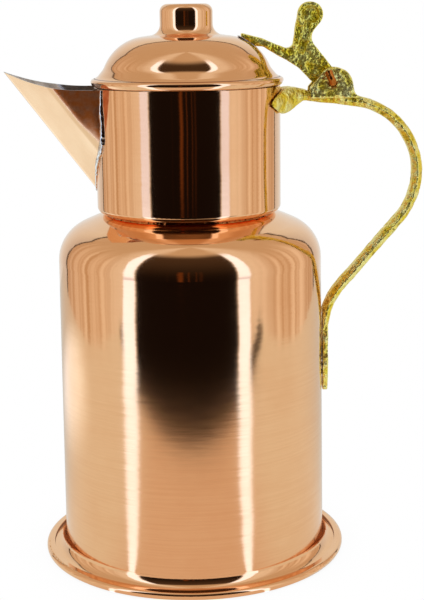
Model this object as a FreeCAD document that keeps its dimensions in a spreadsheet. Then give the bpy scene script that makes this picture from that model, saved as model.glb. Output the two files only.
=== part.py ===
import FreeCAD, Part
import math
import os
import re
import Sketcher
from FreeCAD import Placement, Rotation, Vector

# Driving sizes, in millimetres and degrees, heights from the floor up
SIZES = {
    # Copper sheet, and the joints between pieces
    "wall": 1.0,
    "solder_gap": 0.05,
    "seam_gap": 0.1,
    "film_gap": 0.1,
    "braze_gap": 0.4,
    # Body: foot flange, wall, shoulder and the collar that enters the neck
    "body_radius": 56.7,
    "body_draft": 1.2,
    "flange_width": 8.6,
    "cove_radius": 4.5,
    "foot_bead": 2.475,
    "shoulder_height": 139.2,
    "shoulder_radius": 16.6,
    "shoulder_angle": 23.5,
    "collar_inset": 4.1,
    "collar_height": 5.0,
    "collar_bend": 1.2,
    # Bottom disc, folded over the flange
    "hem_width": 3.4,
    "hem_bend": 1.5,
    # Neck
    "neck_radius": 38.6,
    "neck_height": 51.8,
    "neck_corner": 2.4,
    "neck_lift": 0.6,
    # Pouring hole behind the beak
    "port_top": 7.0,
    "port_height": 27.0,
    "port_width": 22.0,
    "port_foot_width": 8.0,
    "port_corner": 3.0,
    # Beak
    "beak_length": 37.3,
    "beak_rise": 6.9,
    "beak_half_width": 14.3,
    "beak_wall_height": 32.0,
    "beak_keel_angle": 53.0,
    "beak_flank_angle": 35.0,
    "beak_lean_angle": 7.0,
    "beak_keel_round": 2.5,
    "beak_bend": 5.0,
    "beak_root": 10.0,
    "beak_level": 3.4,
    "beak_edge_drop": 0.3,
    "seam_bead": 1.1,
    # Lid
    "lid_gap": 0.3,
    "rim_overhang": 1.7,
    "rim_height": 3.3,
    "rim_bend": 1.5,
    "rim_curl": 3.4,
    "dome_foot_inset": 2.7,
    "dome_foot_bend": 2.0,
    "dome_corner_inset": 9.1,
    "dome_corner_rise": 18.7,
    "dome_round": 24.0,
    "dome_slope_angle": 7.0,
    "knob_radius": 10.9,
    "knob_top": 33.1,
    "knob_foot_round": 4.5,
    "knob_round": 3.2,
    "lid_collar_play": 1.2,
    "lid_collar_depth": 8.0,
    "lid_collar_lead": 1.5,
    "collar_bead_rise": 0.5,
    "collar_bead_reach": 0.6,
    # Hinge
    "hinge_reach": 21.2,
    "hinge_rise": 0.8,
    "pin_radius": 1.5,
    "pin_play": 0.05,
    "pin_bend": 2.0,
    "pin_tail": 3.4,
    "pin_tail_angle": 22.0,
    "pin_head": 2.4,
    "pin_head_edge": 0.72,
    "pin_head_height": 1.44,
    "pin_head_flat": 1.44,
    # Handle casting
    "saddle_width": 40.0,
    "saddle_height": 12.2,
    "saddle_root": 6.0,
    "saddle_waist": 4.0,
    "saddle_waist_width": 18.0,
    "saddle_tip_width": 8.28,
    "saddle_tip_height": 4.05,
    "saddle_corner_share": 0.47,
    "saddle_film_reach": 3.66,
    "saddle_film_width": 20.0,
    "saddle_waist_height": 8.6,
    "saddle_reach": 10.5,
    "saddle_rise": 0.9,
    "strap_width": 9.2,
    "strap_thickness": 4.5,
    "strap_stand": 0.96,
    "strap_sink": 3.15,
    "strap_bevel": 2.0,
    "strap_start": 14.0,
    "strap_drop": 5.0,
    "strap_fall_angle": 7.0,
    "grip_slant_angle": 49.3,
    "grip_round": 30.2,
    "grip_foot_round": 28.0,
    "strap_foot": 109.3,
    "leaf_top": 98.0,
    "leaf_widest": 80.0,
    "leaf_foot": 68.4,
    "leaf_width": 13.0,
    "leaf_neck_width": 8.0,
    "leaf_thickness": 2.4,
    "leaf_tip_width": 4.0,
    "leaf_tip_round": 1.6,
    "leaf_film_width": 6.5,
    "ear_front": 9.4,
    "ear_back": 9.4,
    "ear_toe": 1.8,
    "ear_peak": 2.8,
    "ear_height": 6.1,
    "ear_drop": 6.5,
    "ear_round": 2.5,
    "ear_lean": 1.4,
    "ear_shoulder": 7.0,
    "ear_tail": 4.2,
    "ear_step": 5.0,
    "ear_tail_round": 3.0,
    "ear_thickness": 3.0,
    "ear_play": 0.3,
    # Lever casting
    "lever_thickness": 5.8,
    "knuckle_radius": 4.9,
    "knuckle_root_share": 0.6,
    "knuckle_play": 0.5,
    "tang_inset": 16.3,
    "tang_thickness": 3.6,
    "tang_lift": 0.36,
    "tang_run": 9.4,
    "tang_fall": 1.3,
    "tang_round": 10.0,
    "crotch_back": 16.4,
    "crotch_rise": 13.2,
    "crotch_round": 2.4,
    "stem_back": 15.3,
    "stem_rise": 21.4,
    "waist_back": 9.6,
    "waist_rise": 18.6,
    "waist_round": 5.0,
    "heel_back": 1.0,
    "heel_rise": 8.0,
    "toe_back": 8.6,
    "toe_rise": 0.5,
    "toe_round": 1.5,
    "arm_back": 13.4,
    "arm_rise": 5.9,
    "arm_round": 10.0,
    "thumb_radius": 5.4,
    "thumb_root_share": 0.7,
    "thumb_rise": 27.6,
    "thumb_offset": 8.8,
    "thumb_dish": 3.3,
    "thumb_dish_depth": 0.9,
    "channel_width": 2.4,
    "channel_depth": 0.6,
    "channel_round": 0.96,
    "lever_bead": 1.2,
}

doc = FreeCAD.newDocument("copper_pot")
sheet = doc.addObject("Spreadsheet::Sheet", "Sizes")
for row, (alias, size) in enumerate(SIZES.items(), 1):
    sheet.set(f"A{row}", alias)
    sheet.set(f"B{row}", str(size))
    sheet.setAlias(f"B{row}", alias)
doc.recompute()


def bound(text):
    """The text as an expression, in which each named size is its cell of the sheet."""
    return re.sub(r"[a-z_]+", lambda word: f"Sizes.{word[0]}" if word[0] in SIZES else word[0], text)


def number(text):
    """What an expression comes to with the present sizes."""
    return float(sheet.evalExpression(bound(text)))


# Places worked out from the sizes
body_top_radius = "(body_radius - body_draft)"
foot_radius = "(body_radius + flange_width)"
collar_radius = "(neck_radius - collar_inset)"
rim_radius = "(neck_radius + rim_overhang)"
dome_foot_radius = "(neck_radius - dome_foot_inset)"
dome_corner_radius = "(neck_radius - dome_corner_inset)"
tang_tip = "(neck_radius - tang_inset)"
flange_top = "(2 * wall + seam_gap)"
hem_top = "(3 * wall + 2 * seam_gap)"
collar_foot = f"(shoulder_height + ({body_top_radius} - {collar_radius}) * tan(shoulder_angle))"
collar_top = f"({collar_foot} + collar_height)"
neck_bore = f"({collar_radius} + collar_bend)"
neck_foot = f"({collar_foot} - collar_bend * tan(shoulder_angle) + neck_lift)"
neck_top = f"({neck_foot} + neck_height)"
rim_foot = f"({neck_top} + lid_gap)"
rim_top = f"({rim_foot} + rim_height)"
dome_corner_height = f"({rim_foot} + dome_corner_rise)"
lid_collar_radius = "(neck_radius - wall - lid_collar_play)"
hinge_x = "(neck_radius + hinge_reach)"
hinge_z = f"({neck_top} + hinge_rise)"
fork_gap = "(lever_thickness + 2 * ear_play)"
fork_width = f"({fork_gap} + 2 * ear_thickness)"


def wall_radius(height):
    """Outside radius of the tapered body wall at a height."""
    return f"(body_radius - body_draft * ({height} - {flange_top}) / (shoulder_height - {flange_top}))"


def dome_height(radius):
    """Height of the dome's upper straight slope at a radius."""
    return f"({dome_corner_height} + ({dome_corner_radius} - ({radius})) * tan(dome_slope_angle))"


def new_body(label):
    body = doc.addObject("PartDesign::Body", label)
    body.Label = label
    return body


def new_sketch(body, name, plane, offset=None):
    """Sketch on one of the body's own planes, moved along the plane's normal where an offset is given."""
    sketch = body.newObject("Sketcher::SketchObject", f"{body.Name}_{name}")
    support = next(item for item in body.Origin.OriginFeatures if item.Role == plane)
    sketch.AttachmentSupport = [(support, "")]
    sketch.MapMode = "FlatFace"
    if offset is not None:
        sketch.setExpression("AttachmentOffset.Base.z", bound(offset))
    return sketch


def constrain(sketch, *terms, size=None):
    index = sketch.addConstraint(Sketcher.Constraint(*terms))
    if size is not None:
        sketch.setExpression(f"Constraints[{index}]", bound(size))


def place(sketch, curve, end, spot):
    """Tie a point of a curve to two distances from the sketch's origin."""
    for kind, axis, size in (("DistanceX", -2, spot[0]), ("DistanceY", -1, spot[1])):
        if size == "0":
            constrain(sketch, "PointOnObject", curve, end, axis)
        else:
            constrain(sketch, kind, -1, 1, curve, end, number(size), size=size)


def spot_of(corner):
    return Vector(number(corner[0]), number(corner[1]), 0)


def round_stretch(sketch, centre, start, stop):
    """Arc that runs anticlockwise about its centre from start to stop."""
    first = math.atan2(start.y - centre.y, start.x - centre.x)
    last = math.atan2(stop.y - centre.y, stop.x - centre.x)
    if last < first:
        last += 2 * math.pi
    ring = Part.Circle(centre, Vector(0, 0, 1), (start - centre).Length)
    return sketch.addGeometry(Part.ArcOfCircle(ring, first, last))


def draw_path(sketch, spots, radii, closed):
    """Draw lines from spot to spot, with a tangent arc at each spot that has a radius."""
    count = len(spots)
    ends = []
    for index, spot in enumerate(spots):
        if radii[index] is None:
            ends.append((spot, spot))
            continue
        before = (spots[index - 1] - spot).normalize()
        after = (spots[(index + 1) % count] - spot).normalize()
        reach = radii[index] / math.tan(before.getAngle(after) / 2)
        ends.append((spot + before * reach, spot + after * reach))
    lines = []
    for index in range(count if closed else count - 1):
        segment = Part.LineSegment(ends[index][1], ends[(index + 1) % count][0])
        lines.append(sketch.addGeometry(segment))
    arcs = {}
    for index in range(0 if closed else 1, len(lines)):
        entering, leaving = lines[index - 1], lines[index]
        if radii[index] is None:
            constrain(sketch, "Coincident", entering, 2, leaving, 1)
            continue
        start, stop = ends[index]
        spot = spots[index]
        inward = (start + stop - spot * 2).normalize()
        centre = spot + inward * math.hypot((start - spot).Length, radii[index])
        if (spot - start).cross(stop - spot).z > 0:
            arc = round_stretch(sketch, centre, start, stop)
            arc_start, arc_stop = 1, 2
        else:
            arc = round_stretch(sketch, centre, stop, start)
            arc_start, arc_stop = 2, 1
        constrain(sketch, "Tangent", entering, 2, arc, arc_start)
        constrain(sketch, "Tangent", leaving, 1, arc, arc_stop)
        arcs[index] = arc
    return lines, arcs


def trace(sketch, corners, closed=True):
    """Outline through corners, each given as across, up and, where it is rounded, a radius."""
    spots = [spot_of(corner) for corner in corners]
    radii = [number(corner[2]) if len(corner) > 2 else None for corner in corners]
    lines, arcs = draw_path(sketch, spots, radii, closed)
    for index, corner in enumerate(corners):
        if index in arcs:
            constrain(sketch, "Radius", arcs[index], radii[index], size=corner[2])
            mark = sketch.addGeometry(Part.Point(spots[index]), True)
            constrain(sketch, "PointOnObject", mark, 1, lines[index - 1])
            constrain(sketch, "PointOnObject", mark, 1, lines[index])
            place(sketch, mark, 1, corner)
        elif index < len(lines):
            place(sketch, lines[index], 1, corner)
        else:
            place(sketch, lines[-1], 2, corner)
    return lines


def sheet_section(sketch, corners):
    """Section of bent sheet: the path through the corners, and a second path one wall to its left."""
    lines = trace(sketch, corners, closed=False)
    wall = number("wall")
    spots = [spot_of(corner) for corner in corners]
    ways = [(far - near).normalize() for near, far in zip(spots, spots[1:])]
    lefts = [Vector(-way.y, way.x, 0) for way in ways]
    inner_spots = [spots[0] + lefts[0] * wall]
    bends = {}
    for index in range(1, len(spots) - 1):
        both = lefts[index - 1] + lefts[index]
        spread = 1 + lefts[index - 1].dot(lefts[index])
        inner_spots.append(spots[index] + both * (wall / spread))
        if len(corners[index]) > 2:
            sign = "-" if ways[index - 1].cross(ways[index]).z > 0 else "+"
            bends[index] = f"({corners[index][2]} {sign} wall)"
    inner_spots.append(spots[-1] + lefts[-1] * wall)
    radii = [number(bends[index]) if index in bends else None for index in range(len(spots))]
    inner_lines, arcs = draw_path(sketch, inner_spots, radii, closed=False)
    for line, inner_line in zip(lines, inner_lines):
        constrain(sketch, "Parallel", inner_line, line)
        constrain(sketch, "Distance", inner_line, 1, line, wall, size="wall")
    for index, arc in arcs.items():
        constrain(sketch, "Radius", arc, radii[index], size=bends[index])
    for end, index in ((1, 0), (2, -1)):
        edge = sketch.addGeometry(Part.LineSegment(spots[index], inner_spots[index]))
        constrain(sketch, "Coincident", edge, 1, lines[index], end)
        constrain(sketch, "Coincident", edge, 2, inner_lines[index], end)
        constrain(sketch, "Perpendicular", edge, lines[index])


def circle(sketch, spot, radius):
    centre = spot_of(spot)
    ring = sketch.addGeometry(Part.Circle(centre, Vector(0, 0, 1), number(radius)))
    constrain(sketch, "Radius", ring, number(radius), size=radius)
    if spot == ("0", "0"):
        constrain(sketch, "Coincident", ring, 3, -1, 1)
    else:
        place(sketch, ring, 3, spot)


def turn(body, kind, sketch, angle=None):
    """Revolution or Groove of a sketch about the upright axis."""
    feature = body.newObject(f"PartDesign::{kind}", f"{sketch.Name}_{kind}")
    feature.Profile = sketch
    feature.ReferenceAxis = (sketch, ["V_Axis"])
    feature.Angle = 360
    if angle is not None:
        feature.Midplane = True
        feature.setExpression("Angle", bound(angle))
    return feature


def pad(body, sketch, length, symmetric=True):
    feature = body.newObject("PartDesign::Pad", f"{sketch.Name}_Pad")
    feature.Profile = sketch
    feature.SideType = "Symmetric" if symmetric else "One side"
    feature.setExpression("Length", bound(length))


def pocket(body, sketch, length=None, backward=False, symmetric=True):
    """Cut through everything both ways, or to a length on one side of the sketch."""
    feature = body.newObject("PartDesign::Pocket", f"{sketch.Name}_Pocket")
    feature.Profile = sketch
    feature.SideType = "Symmetric" if symmetric else "One side"
    feature.Reversed = backward
    feature.Type = "ThroughAll"
    if length is not None:
        feature.Type = "Length"
        feature.setExpression("Length", bound(length))


def spun_sheet(label, corners):
    body = new_body(label)
    sketch = new_sketch(body, "Section", "XZ_Plane")
    sheet_section(sketch, corners)
    turn(body, "Revolution", sketch)
    return body


def spun_ring(label, corners, angle=None):
    body = new_body(label)
    sketch = new_sketch(body, "Section", "XZ_Plane")
    trace(sketch, corners)
    turn(body, "Revolution", sketch, angle)
    return body


def make_body_shell():
    flange_radius = f"({foot_radius} - wall - 4 * seam_gap)"
    return spun_sheet("body_shell", [
        (flange_radius, flange_top),
        ("body_radius", flange_top, "cove_radius"),
        (body_top_radius, "shoulder_height", "shoulder_radius"),
        (collar_radius, collar_foot, "collar_bend"),
        (collar_radius, collar_top),
    ])


def make_base_plate():
    return spun_sheet("base_plate", [
        ("0", "0"),
        (foot_radius, "0", "hem_bend"),
        (foot_radius, hem_top, "hem_bend"),
        (f"({foot_radius} - hem_width)", hem_top),
    ])


def make_foot_solder():
    floor = "(wall + solder_gap)"
    return spun_ring("foot_solder", [
        ("(body_radius - 3 * wall)", floor),
        ("(body_radius + foot_bead)", floor),
        ("(body_radius - wall + 2 * solder_gap)", f"({floor} + foot_bead)"),
    ])


def make_neck_shell():
    body = spun_sheet("neck_shell", [
        (neck_bore, neck_foot),
        ("neck_radius", neck_foot, "neck_corner"),
        ("neck_radius", neck_top),
    ])
    port = new_sketch(body, "Port", "YZ_Plane")
    top = f"({neck_top} - port_top)"
    foot = f"({neck_top} - port_top - port_height)"
    trace(port, [
        ("(-port_width / 2)", top, "port_corner"),
        ("(-port_foot_width / 2)", foot, "port_corner"),
        ("(port_foot_width / 2)", foot, "port_corner"),
        ("(port_width / 2)", top, "port_corner"),
    ])
    pocket(body, port, symmetric=False, backward=False)
    return body


def make_neck_solder():
    floor = f"({neck_foot} + wall + solder_gap)"
    inside = f"({collar_radius} + solder_gap)"
    return spun_ring("neck_solder", [
        (inside, floor),
        ("(neck_radius - neck_corner - 2 * solder_gap)", floor),
        (inside, f"({floor} + 2 * wall)"),
    ])


def beak_section(body, name, skin):
    """Section of the folded beak square to its keel, grown on all sides by the skin: two flanks that meet
    at the keel and bend up into two walls that lean a little outward."""
    flank = "beak_flank_angle"
    lean = "beak_lean_angle"
    keel = f"(beak_keel_round * (1 / cos({flank}) - 1) + {skin} / cos({flank}))"
    spread = f"((1 / cos({lean}) - tan({lean}) / cos({flank})) / (1 - tan({flank}) * tan({lean})))"
    bend_across = f"(beak_half_width + {skin} * {spread})"
    bend_up = f"({bend_across} * tan({flank}) - {keel})"
    brim_across = f"({bend_across} + (beak_wall_height - {bend_up}) * tan({lean}))"
    bend = f"(beak_bend + {skin})"
    sketch = new_sketch(body, f"{name}Section", "YZ_Plane", "-(neck_radius + beak_length)")
    sketch.AttachmentOffset = Placement(Vector(), Rotation(Vector(1, 0, 0), 1))
    sketch.setExpression("AttachmentOffset.Base.y", bound(f"({neck_top} + beak_rise)"))
    sketch.setExpression("AttachmentOffset.Rotation.Angle", bound("beak_keel_angle"))
    trace(sketch, [
        (f"(-{brim_across})", "beak_wall_height"),
        (f"(-{bend_across})", bend_up, bend),
        ("0", f"(-{keel})", f"(beak_keel_round + {skin})"),
        (bend_across, bend_up, bend),
        (brim_across, "beak_wall_height"),
    ])
    return sketch


def beak_run(body, name, skin):
    """Solid run of the beak's section from the tip down to a place inside the neck."""
    sketch = beak_section(body, name, skin)
    pad(body, sketch, "((beak_length + beak_root) / cos(beak_keel_angle))", symmetric=False)


def trim_beak_top(body):
    """Cut the beak's upper edge: level beside the neck, then swept up to the tip."""
    edge_height = f"({neck_top} - beak_edge_drop)"
    tip = ("-(neck_radius + beak_length)", f"({neck_top} + beak_rise)")
    level = ("-(neck_radius + beak_level)", edge_height)
    back = ("-(neck_radius - 2 * beak_root)", edge_height)
    above = f"({tip[1]} + beak_wall_height)"
    front = "-(neck_radius + 2 * beak_length)"
    sketch = new_sketch(body, "TopEdge", "XZ_Plane")
    corners = (back, level, tip, (front, tip[1]), (front, above), (back[0], above))
    spots = [spot_of(corner) for corner in corners]
    sweep = spots[1] - spots[2]
    radius = (sweep.x ** 2 + sweep.y ** 2) / (-2 * sweep.y)
    centre = spots[1] + Vector(0, radius, 0)
    ends = [(0, 1), (2, 3), (3, 4), (4, 5), (5, 0)]
    lines = [sketch.addGeometry(Part.LineSegment(spots[near], spots[far])) for near, far in ends]
    arc = round_stretch(sketch, centre, spots[2], spots[1])
    constrain(sketch, "Tangent", lines[0], 2, arc, 2)
    constrain(sketch, "Coincident", arc, 1, lines[1], 1)
    for near, far in ((1, 2), (2, 3), (3, 4), (4, 0)):
        constrain(sketch, "Coincident", lines[near], 2, lines[far], 1)
    place(sketch, lines[0], 1, back)
    place(sketch, lines[0], 2, level)
    place(sketch, lines[1], 1, tip)
    place(sketch, lines[1], 2, (front, tip[1]))
    place(sketch, lines[2], 2, (front, above))
    place(sketch, lines[3], 2, (back[0], above))
    pocket(body, sketch)


def trim_neck_side(body, radius):
    """Cut away whatever lies within a radius of the neck's axis."""
    sketch = new_sketch(body, "NeckSide", "XY_Plane")
    circle(sketch, ("0", "0"), radius)
    pocket(body, sketch)


def make_spout():
    body = new_body("spout")
    beak_run(body, "Outside", "0")
    pocket(body, beak_section(body, "Inside", "(-wall)"))
    trim_beak_top(body)
    trim_neck_side(body, "(neck_radius + solder_gap)")
    return body


def make_spout_solder():
    """Tin bead in the corner between the neck and the outside of the beak."""
    body = new_body("spout_solder")
    beak_run(body, "Bead", "seam_bead")
    pocket(body, beak_section(body, "Beak", "solder_gap"))
    trim_beak_top(body)
    trim_neck_side(body, "(neck_radius + solder_gap)")
    around = new_sketch(body, "Around", "XY_Plane")
    circle(around, ("0", "0"), "(neck_radius + seam_bead)")
    circle(around, ("0", "0"), "(neck_radius + 3 * beak_length)")
    pocket(body, around)
    return body


def make_lid_shell():
    knob_top_height = f"({rim_foot} + knob_top)"
    return spun_sheet("lid_shell", [
        (f"({rim_radius} - rim_curl)", rim_foot),
        (rim_radius, rim_foot, "rim_bend"),
        (rim_radius, rim_top, "rim_bend"),
        (dome_foot_radius, rim_top, "dome_foot_bend"),
        (dome_corner_radius, dome_corner_height, "dome_round"),
        ("knob_radius", dome_height("knob_radius"), "knob_foot_round"),
        ("knob_radius", knob_top_height, "knob_round"),
        ("0", knob_top_height),
    ])


def make_lid_collar():
    bottom = f"({rim_foot} - lid_collar_depth)"
    return spun_sheet("lid_collar", [
        (f"({lid_collar_radius} - lid_collar_lead / 2)", bottom),
        (lid_collar_radius, f"({bottom} + lid_collar_lead)"),
        (lid_collar_radius, f"({rim_top} - wall - seam_gap)"),
    ])


def make_collar_solder():
    inside = f"({lid_collar_radius} - wall - solder_gap)"
    top = f"({rim_top} - wall - seam_gap)"
    return spun_ring("collar_solder", [
        (inside, f"({top} - 2 * wall)"),
        (inside, f"({top} + collar_bead_rise)"),
        (f"({inside} - collar_bead_reach)", f"({top} + wall)"),
    ])


def hexagon(sketch, centre, width, height, bevel):
    """Flattened six-sided section with a ridge along each narrow edge."""
    edge = f"({width} / 2)"
    flat = f"({width} / 2 - {bevel})"
    half = f"({height} / 2)"
    trace(sketch, [
        (f"-{edge}", centre),
        (f"-{flat}", f"({centre} - {half})"),
        (flat, f"({centre} - {half})"),
        (edge, centre),
        (flat, f"({centre} + {half})"),
        (f"-{flat}", f"({centre} + {half})"),
    ])


def add_strap(body):
    """Cast strap: back from the fork, round the grip and down to the leaf on the wall."""
    start_x = f"({hinge_x} - strap_start)"
    start_z = f"({hinge_z} - strap_drop)"
    foot_x = f"({wall_radius('strap_foot')} + braze_gap + strap_thickness / 2 + strap_stand)"
    end_x = f"({wall_radius('strap_foot')} + braze_gap + leaf_thickness - strap_sink)"
    slopes = "(tan(strap_fall_angle) + tan(grip_slant_angle))"
    lines_meet = f"(tan(strap_fall_angle) * {start_x} + tan(grip_slant_angle) * {foot_x})"
    bow_x = f"(({start_z} - strap_foot + {lines_meet}) / {slopes})"
    bow_z = f"({start_z} - tan(strap_fall_angle) * ({bow_x} - {start_x}))"
    spine = new_sketch(body, "Spine", "XZ_Plane")
    trace(spine, [
        (start_x, start_z),
        (bow_x, bow_z, "grip_round"),
        (foot_x, "strap_foot", "grip_foot_round"),
        (end_x, "(strap_foot - 4 * strap_thickness)"),
    ], closed=False)
    section = new_sketch(body, "StrapSection", "YZ_Plane", start_x)
    hexagon(section, start_z, "strap_width", "strap_thickness", "strap_bevel")
    strap = body.newObject("PartDesign::AdditivePipe", f"{body.Name}_Strap")
    strap.Profile = section
    strap.Spine = (spine, [""])


def add_saddle(body):
    """Flared foot of the strap, which wraps the neck."""
    top = f"({hinge_z} - strap_drop + strap_thickness / 2)"
    sections = []
    for name, reach, width, height, rise in (
        ("SaddleTip", "saddle_reach", "saddle_tip_width", "saddle_tip_height", "0"),
        ("SaddleWaist", "saddle_waist", "saddle_waist_width", "saddle_waist_height", "(0.5 * saddle_rise)"),
        ("SaddleFoot", "(-saddle_root)", "saddle_width", "saddle_height", "saddle_rise"),
    ):
        sketch = new_sketch(body, name, "YZ_Plane", f"(neck_radius + {reach})")
        upper = f"({top} + {rise})"
        lower = f"({top} + {rise} - {height})"
        side = f"({width} / 2)"
        corner = f"(saddle_corner_share * {height})"
        trace(sketch, [
            (f"-{side}", lower, corner),
            (side, lower, corner),
            (side, upper, corner),
            (f"-{side}", upper, corner),
        ])
        sections.append(sketch)
    loft = body.newObject("PartDesign::AdditiveLoft", f"{body.Name}_Saddle")
    loft.Profile = sections[0]
    loft.Sections = [(sketch, [""]) for sketch in sections[1:]]


def add_fork(body):
    """Two ears on the strap, with the slot for the lever's knuckle between them."""
    ears = new_sketch(body, "Ears", "XZ_Plane")
    trace(ears, [
        (f"({hinge_x} - ear_front)", f"({hinge_z} - ear_drop)"),
        (f"({hinge_x} + ear_back + ear_tail)", f"({hinge_z} - ear_drop)"),
        (f"({hinge_x} + ear_back)", f"({hinge_z} - ear_step)", "ear_tail_round"),
        (f"({hinge_x} + ear_back - ear_lean)", f"({hinge_z} + ear_height)", "ear_shoulder"),
        (f"({hinge_x} - ear_peak)", f"({hinge_z} + ear_height)", "ear_round"),
        (f"({hinge_x} - ear_front)", f"({hinge_z} - ear_toe)"),
    ])
    pad(body, ears, fork_width)
    slot = new_sketch(body, "Slot", "XZ_Plane")
    slot_floor = f"({hinge_z} - knuckle_radius - knuckle_play)"
    slot_top = f"({hinge_z} + 2 * ear_height)"
    trace(slot, [
        (f"({hinge_x} - ear_front)", slot_floor),
        (f"({hinge_x} + 2 * ear_back)", slot_floor),
        (f"({hinge_x} + 2 * ear_back)", slot_top),
        (f"({hinge_x} - ear_front)", slot_top),
    ])
    pocket(body, slot, fork_gap)


def add_leaf(body):
    """Leaf at the strap's lower end, which lies against the body's wall."""
    start = f"({body_top_radius} - leaf_thickness)"
    leaf = new_sketch(body, "Leaf", "YZ_Plane", start)
    trace(leaf, [
        ("(-leaf_neck_width / 2)", "leaf_top"),
        ("(-leaf_width / 2)", "leaf_widest", "(2 * leaf_width)"),
        ("(-leaf_tip_width / 2)", "leaf_foot", "leaf_tip_round"),
        ("(leaf_tip_width / 2)", "leaf_foot", "leaf_tip_round"),
        ("(leaf_width / 2)", "leaf_widest", "(2 * leaf_width)"),
        ("(leaf_neck_width / 2)", "leaf_top"),
    ])
    face = f"({wall_radius('leaf_widest')} + braze_gap + leaf_thickness)"
    pad(body, leaf, f"({face} - {start})", symmetric=False)


def make_handle():
    body = new_body("handle")
    add_strap(body)
    add_saddle(body)
    add_fork(body)
    add_leaf(body)
    trim_neck_side(body, "(neck_radius + braze_gap)")
    wall_side = new_sketch(body, "WallSide", "XZ_Plane")
    low = "(leaf_foot - leaf_width)"
    high = "(strap_foot + leaf_width)"
    trace(wall_side, [
        ("0", low),
        (f"({wall_radius(low)} + braze_gap)", low),
        (f"({wall_radius(high)} + braze_gap)", high),
        ("0", high),
    ])
    turn(body, "Groove", wall_side)
    bore = new_sketch(body, "PinBore", "XZ_Plane")
    circle(bore, (hinge_x, hinge_z), "(pin_radius + pin_play)")
    pocket(body, bore, f"(2 * {fork_width})")
    return body


def film(label, foot, top, radius_at, width):
    """Thin patch of solder between a round wall and what is soldered to it."""
    inner = "film_gap"
    outer = "(braze_gap - film_gap)"
    angle = f"(2 * asin({width} / 2 / {radius_at(foot)}))"
    return spun_ring(label, [
        (f"({radius_at(foot)} + {inner})", foot),
        (f"({radius_at(foot)} + {outer})", foot),
        (f"({radius_at(top)} + {outer})", top),
        (f"({radius_at(top)} + {inner})", top),
    ], angle)


def make_saddle_solder():
    middle = f"({hinge_z} - strap_drop - strap_thickness / 2)"
    foot = f"({middle} - saddle_film_reach)"
    top = f"({middle} + saddle_film_reach)"
    return film("saddle_solder", foot, top, lambda height: "neck_radius", "saddle_film_width")


def make_leaf_solder():
    foot = "(leaf_foot + leaf_film_width)"
    top = "(leaf_widest + leaf_film_width)"
    return film("leaf_solder", foot, top, wall_radius, "leaf_film_width")


def dome_region(body, name, lift):
    """Section of all that lies under the dome, with the dome raised by the lift."""
    sketch = new_sketch(body, name, "XZ_Plane")
    trace(sketch, [
        ("0", rim_foot),
        (dome_foot_radius, rim_foot),
        (dome_foot_radius, f"({rim_top} + {lift})"),
        (dome_corner_radius, f"({dome_corner_height} + {lift})", "dome_round"),
        ("0", f"({dome_height('0')} + {lift})"),
    ])
    return sketch


def make_hinge_lever():
    body = new_body("hinge_lever")
    thumb_x = f"({hinge_x} - thumb_offset)"
    thumb_z = f"({hinge_z} + thumb_rise)"
    tang_top = f"({dome_height(tang_tip)} + tang_lift)"
    thumb_root = "(thumb_root_share * thumb_radius)"
    knuckle_root = "(knuckle_root_share * knuckle_radius)"
    tang_end = f"({tang_tip} + tang_run)"
    outline = new_sketch(body, "Outline", "XZ_Plane")
    trace(outline, [
        (tang_tip, tang_top),
        (tang_end, f"({tang_top} - tang_fall)", "tang_round"),
        (f"({hinge_x} - crotch_back)", f"({hinge_z} + crotch_rise)", "crotch_round"),
        (f"({hinge_x} - stem_back)", f"({hinge_z} + stem_rise)"),
        (f"({thumb_x} - thumb_radius)", thumb_z),
        (thumb_x, thumb_z),
        (f"({thumb_x} + {thumb_root})", f"({thumb_z} - {thumb_root})"),
        (f"({hinge_x} - waist_back)", f"({hinge_z} + waist_rise)", "waist_round"),
        (f"({hinge_x} - heel_back)", f"({hinge_z} + heel_rise)"),
        (f"({hinge_x} + {knuckle_root})", f"({hinge_z} + {knuckle_root})"),
        (f"({hinge_x} - {knuckle_root})", f"({hinge_z} - {knuckle_root})"),
        (f"({hinge_x} - toe_back)", f"({hinge_z} + toe_rise)", "toe_round"),
        (f"({hinge_x} - arm_back)", f"({hinge_z} + arm_rise)", "arm_round"),
        (tang_end, f"({tang_top} - tang_fall - tang_thickness)"),
        (tang_tip, f"({tang_top} - tang_thickness)"),
    ])
    pad(body, outline, "lever_thickness")
    for name, spot, radius in (
        ("Thumb", (thumb_x, thumb_z), "thumb_radius"),
        ("Knuckle", (hinge_x, hinge_z), "knuckle_radius"),
    ):
        disc = new_sketch(body, name, "XZ_Plane")
        circle(disc, spot, radius)
        pad(body, disc, "lever_thickness")
    half = "(lever_thickness / 2)"
    for name, side, backward in (("Near", half, False), ("Far", f"(-{half})", True)):
        dish = new_sketch(body, f"{name}Dish", "XZ_Plane", side)
        circle(dish, (thumb_x, thumb_z), "thumb_dish")
        pocket(body, dish, "thumb_dish_depth", backward=backward, symmetric=False)
        channel = new_sketch(body, f"{name}Channel", "XZ_Plane", side)
        foot_x = f"({hinge_x} - waist_back / 2 - stem_back / 2)"
        foot_z = f"({hinge_z} + crotch_rise)"
        trace(channel, [
            (f"({thumb_x} - channel_width / 2)", thumb_z),
            (f"({foot_x} - channel_width / 2)", foot_z, "channel_round"),
            (f"({foot_x} + channel_width / 2)", foot_z, "channel_round"),
            (f"({thumb_x} + channel_width / 2)", thumb_z),
        ])
        pocket(body, channel, "channel_depth", backward=backward, symmetric=False)
    turn(body, "Groove", dome_region(body, "DomeSide", "braze_gap"))
    bore = new_sketch(body, "PinBore", "XZ_Plane")
    circle(bore, (hinge_x, hinge_z), "(pin_radius + pin_play)")
    pocket(body, bore, "(2 * lever_thickness)")
    return body


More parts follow.
